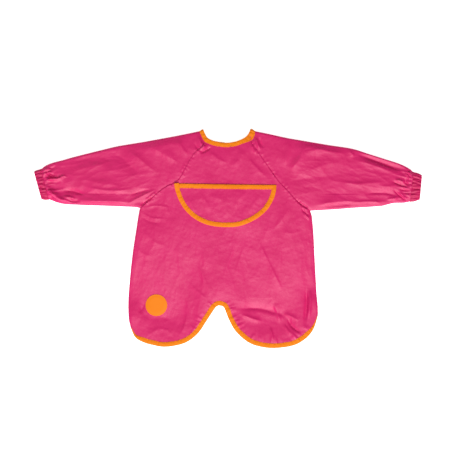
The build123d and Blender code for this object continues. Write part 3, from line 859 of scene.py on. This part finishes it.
# One stitch, end to end: place along it, part of the thread's radius, rise.
STITCH = ((0, 0.35, -0.12), (0.5, 0.9, 0.1), (1, 1, 0.16), (1.5, 0.9, 0.1), (2, 0.35, -0.12))
THREAD_SIDES = 5


def stitches(name, line, heights):
    """Separate thread stitches along a line that lies on the cloth."""
    pts = np.column_stack([line, heights])
    run = lengths_along(pts)
    verts, faces = [], []
    for s in np.arange(1.2, run[-1] - 1.2, STITCH_GAP):
        first, last = (
            np.array([np.interp(s + o, run, pts[:, k]) for k in range(3)])
            for o in (-STITCH_LENGTH / 2, STITCH_LENGTH / 2)
        )
        t = last - first
        t /= np.linalg.norm(t) or 1
        n = np.cross(t, (0, 0, 1.0))
        n /= np.linalg.norm(n) or 1
        u = np.cross(n, t)
        start = len(verts)
        for q, size, rise in STITCH:
            c = first + (last - first) * q / 2 + u * rise
            for a in range(THREAD_SIDES):
                ang = a * 2 * math.pi / THREAD_SIDES
                verts.append(c + (n * math.cos(ang) + u * math.sin(ang)) * THREAD * size)
        for i in range(len(STITCH) - 1):
            near_ring, far_ring = start + i * THREAD_SIDES, start + (i + 1) * THREAD_SIDES
            for a in range(THREAD_SIDES):
                b = (a + 1) % THREAD_SIDES
                faces.append((near_ring + a, far_ring + a, far_ring + b, near_ring + b))
        for cap in end_caps(len(STITCH), THREAD_SIDES):
            faces.append(tuple(start + i for i in cap[::-1]))
    obj = add_mesh(name, verts, faces, orange_thread)
    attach(obj, "smock")


def sewn(name, line, trim):
    """Stitches on a tape that lies on the upper layer, without the first and last few points."""
    line = line[trim:-trim]
    stitches(name, line, shape_of(line)[0] + 0.55)


def hem_taper(t):
    """Thin where the hem turns round the side folds, full along both lobes."""
    return 0.16 + 0.84 * smooth(t / 0.085) * smooth((1 - t) / 0.1)


hem, hem_stitch = strip("hem_tape", hem_line[2:-2], 1, HEM_TAPE, seed=4, taper=hem_taper,
                        pucker=2.0)
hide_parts("hem_binding")
sewn("hem_stitches", hem_stitch, trim=16)


def neck_taper(t):
    """Wider towards the right shoulder."""
    return 1 + 0.5 * bell(t, 0.9, 0.075) + 0.1 * ease(t, 0.9, 0.1)


neck, neck_stitch = strip("neck_tape", neck_line, -1, NECK_TAPE, seed=6, taper=neck_taper,
                          pucker=1.5, pinches=(0.13, 0.83, 0.875, 0.9))
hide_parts("neck_binding")
sewn("neck_stitches", neck_stitch, trim=5)
for side, part, aside in (
    ("left", neck_line[neck_line[:, 0] < -4], -0.4),
    ("right", neck_line[neck_line[:, 0] > 4], 1.6),
):
    strip(f"neck_tape_back_{side}", part + np.array([aside, 0.9]), -1, 8.8, layer="low", seed=8,
          up=0.85, extra=0.1)


def shoulder_turn(name, end, following, inward, width, around=15):
    """The bound neck edge where it turns over the shoulder, from the front to the back strip."""
    outward = (end - following) / np.linalg.norm(end - following)
    normal = np.array([-outward[1], outward[0]]) * inward
    profile = section(0.9)
    rows = []
    for angle in np.linspace(0, math.pi, around):
        base = np.array([end + normal * width * a for a, _ in profile])
        top, low = shape_of(base)
        radius = np.maximum((top - low) / 2 + np.array([u for _, u in profile]), 0.15)
        xy = base + outward * (radius * math.sin(angle))[:, None] - outward * 0.6
        z = np.maximum((top + low) / 2 + radius * math.cos(angle), FLOOR)
        rows.append(np.column_stack([xy, z]))
    verts = np.vstack(rows)
    faces = facing_out(verts, rings(around, len(profile)) + end_caps(around, len(profile)))
    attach(add_mesh(name, verts, faces, orange), "smock")


shoulder_turn("neck_tape_turn_left", neck_line[0], neck_line[1], 1, NECK_TAPE)
shoulder_turn("neck_tape_turn_right", neck_line[-1], neck_line[-2], -1, NECK_TAPE + 1)


def back_taper(t):
    """Thin at the lower end, where it meets the hem."""
    return 0.2 + 0.8 * smooth((1 - t) / 0.1)


for side, inward in (("left", -1), ("right", 1)):
    tape, _ = strip(f"back_edge_tape_{side}", back_edges[side][:-2], inward, HEM_TAPE, layer="low",
                    taper=back_taper, seed=9, up=0.8, extra=0.25)
    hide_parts(f"back_edge_binding_{side}")

# ---------------------------------------------------------------- pocket
mouth_a, mouth_b = pocket_line[0], pocket_line[-1]
mouth_middle = (mouth_a + mouth_b) / 2 + np.array([0, -0.4])
mouth_line = curve([tuple(mouth_a), tuple(mouth_middle), tuple(mouth_b)])
bag_loop = join(pocket_line, mouth_line[::-1])
POCKET_CREASES = [
    ([(-60, 96), (-40, 70), (-36, 44)], 0.9, 7, 0.4),
    ([(-16, 92), (-6, 66), (6, 44)], 0.7, 8, -0.3),
    ([(40, 96), (22, 76), (12, 52)], 0.8, 7, 0.4),
    ([(66, 84), (52, 66), (44, 44)], 0.8, 6, 0.4),
    ([(-84, 88), (-70, 66), (-60, 46)], 0.8, 6, 0.3),
    ([(-50, 86), (-10, 80), (40, 84)], 0.6, 10, 0.2),
]


def bag_height(xy):
    """The pocket lies on the front panel and stands off it a little towards the mouth."""
    top, _ = shape_of(xy)
    edge = near(pocket_line, xy)[0]
    mouth = near(mouth_line, xy)[0]
    z = 0.4 + 0.8 * smooth(edge / 26) * (0.35 + 0.65 * smooth(1 - mouth / 62))
    extra = np.zeros(len(xy))
    for points, height, width, skew in POCKET_CREASES:
        fold(xy, extra, points, height, width, skew)
    extra += 0.14 * noise(xy, 24, 44) + 0.05 * noise(xy, 11, 45)
    puckers(xy, extra, POCKET[1:-1], 1, 13, 0.55, 1.5, 6.5, 46)
    return top + z + extra * smooth(edge / 12)


verts, faces = fill(bag_loop, STEP)
bag = add_mesh("pocket_cloth", np.column_stack([verts, bag_height(verts)]), faces, pink)
thicken(bag)
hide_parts("pocket_panel")
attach(bag, "smock")

mouth_tape, mouth_stitch = strip("pocket_mouth_tape", mouth_line[2:], -1, POCKET_TAPE, seed=11,
                                 base=bag_height, up=0.85)
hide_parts("pocket_mouth_binding")
mouth_stitch = mouth_stitch[6:-6]
stitches("pocket_mouth_stitches", mouth_stitch, bag_height(mouth_stitch) + 0.5)


def over_mouth_tape(run):
    """The curved tape starts on top of the mouth tape and comes down off it."""
    return 0.2 + 1.1 * smooth(1 - (run - 8) / 8)


curve_tape, curve_stitch = strip("pocket_curve_tape", pocket_line, 1, POCKET_TAPE, seed=12,
                                 base=bag_height, wrap=False, extra=over_mouth_tape)
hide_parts("pocket_edge_binding")
curve_stitch = curve_stitch[10:-6]
stitches("pocket_curve_stitches", curve_stitch, bag_height(curve_stitch) + 0.7)

# ---------------------------------------------------------------- badge
# Rings of the disc, from its edge over the raised rim to its middle: radius, rise.
BADGE_RINGS = [(1.0, -0.6), (1.0, 0.25), (0.985, 0.42), (0.955, 0.5), (0.925, 0.34), (0.9, 0.34),
               (0.87, 0.5), (0.6, 0.52), (0.3, 0.54), (0.02, 0.55)]


def disc(name, material, around=96):
    verts = []
    for part, rise in BADGE_RINGS:
        for k in range(around):
            a = 2 * math.pi * k / around
            reach = part * BADGE_RADIUS
            verts.append((BADGE[0] + reach * math.cos(a), BADGE[1] + reach * math.sin(a), rise))
    verts = np.array(verts)
    verts[:, 2] += shape_of(verts[:, :2])[0] + 0.3
    faces = rings(len(BADGE_RINGS), around) + end_caps(len(BADGE_RINGS), around)
    return add_mesh(name, verts, facing_out(verts, faces), material)


badge = disc("badge_disc", badge_orange)
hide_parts("badge")
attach(badge, "smock")

# ---------------------------------------------------------------- neck tab, under the back
# Each flat piece: node, material, body, height of its underside and of its top.
TAB_PIECES = (
    ("neck_tab", pink, "tab", 0.1, 0.5),
    ("loop_patch", hook_pink, "tab", 0.5, 0.8),
    ("hook_patch", hook_pink, "smock", 0.8, 1.1),
)
NX, NY = 37, 13  # points along and across each
for node, mat, body, under, over in TAB_PIECES:
    low, high = (np.array(p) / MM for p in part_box(node))
    xs, ys = np.linspace(low[0], high[0], NX), np.linspace(low[1], high[1], NY)
    grid = np.array([(x, y) for x in xs for y in ys])
    edge = np.minimum(grid - low[:2], high[:2] - grid).min(1)
    round_off = 0.12 * np.exp(-edge / 0.8)
    upper = np.column_stack([grid, over - round_off + 0.05 * noise(grid, 14, 60)])
    lower = np.column_stack([grid, under + round_off * 0.5])
    n = len(grid)
    faces = []
    for i in range(NX - 1):
        for j in range(NY - 1):
            q = (i * NY + j, (i + 1) * NY + j, (i + 1) * NY + j + 1, i * NY + j + 1)
            faces.append(q)
            faces.append(tuple(k + n for k in q[::-1]))
    rim = [i * NY for i in range(NX)] + [(NX - 1) * NY + j for j in range(1, NY)]
    rim += [i * NY + NY - 1 for i in range(NX - 2, -1, -1)] + [j for j in range(NY - 2, 0, -1)]
    for p, q in zip(rim, rim[1:] + rim[:1]):
        faces.append((p, p + n, q + n, q))
    piece = add_mesh(f"{node}_cloth", np.vstack([upper, lower]), faces, mat)
    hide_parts(node)
    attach(piece, body)

# ---------------------------------------------------------------- sleeve transforms
# Each sleeve's transform is baked into its mesh.
for side, obj, point, outward in (
    ("left", left_sleeve, (-184, 64), (-0.8660254, 0.5)),
    ("right", right_sleeve, (176, 58), (0.8660254, 0.5)),
):
    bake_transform(obj)

# ---------------------------------------------------------------- stage, light and camera
HALF = 12  # half of the floor's width, in metres
floor_mesh = bpy.data.meshes.new("floor")
corners = [(-HALF, -HALF, 0), (HALF, -HALF, 0), (HALF, HALF, 0), (-HALF, HALF, 0)]
floor_mesh.from_pydata(corners, [], [(0, 1, 2, 3)])
floor = link("floor", floor_mesh)
floor_mat, _, paper = new_material("white paper", 0.9, 0.0)
paper.inputs["Base Color"].default_value = (0.93, 0.93, 0.93, 1)
paper.inputs["Emission Color"].default_value = (1, 1, 1, 1)
paper.inputs["Emission Strength"].default_value = 0.76
floor_mesh.materials.append(floor_mat)


def area_light(name, place, size, power):
    """A square lamp that looks at the middle of the smock."""
    light = bpy.data.lights.new(name, "AREA")
    light.shape = "SQUARE"
    light.size = size
    light.energy = power
    obj = link(name, light)
    obj.location = place
    obj.rotation_euler = (-Vector(place)).to_track_quat("-Z", "Y").to_euler()


area_light("key", (0.5, -4.5, 3.3), 1.6, 226)
area_light("softbox", (0.2, -2.0, 4.5), 1.5, 130)
area_light("fill", (-1.9, 1.9, 2.2), 1.6, 14)
scene = bpy.context.scene
scene.world = scene.world or bpy.data.worlds.new("studio")
scene.world.use_nodes = True
background = scene.world.node_tree.nodes["Background"]
background.inputs["Color"].default_value = (1, 1, 1, 1)
background.inputs["Strength"].default_value = 0.13
scene.view_settings.view_transform = "Standard"

camera = bpy.data.cameras.new("camera")
camera.lens = 100
camera.sensor_width = 36
camera.clip_start = 0.05
scene.camera = link("camera", camera)
scene.camera.location = (-0.004, 0.027, 2.508)
scene.camera.rotation_euler = (0, 0, 0)
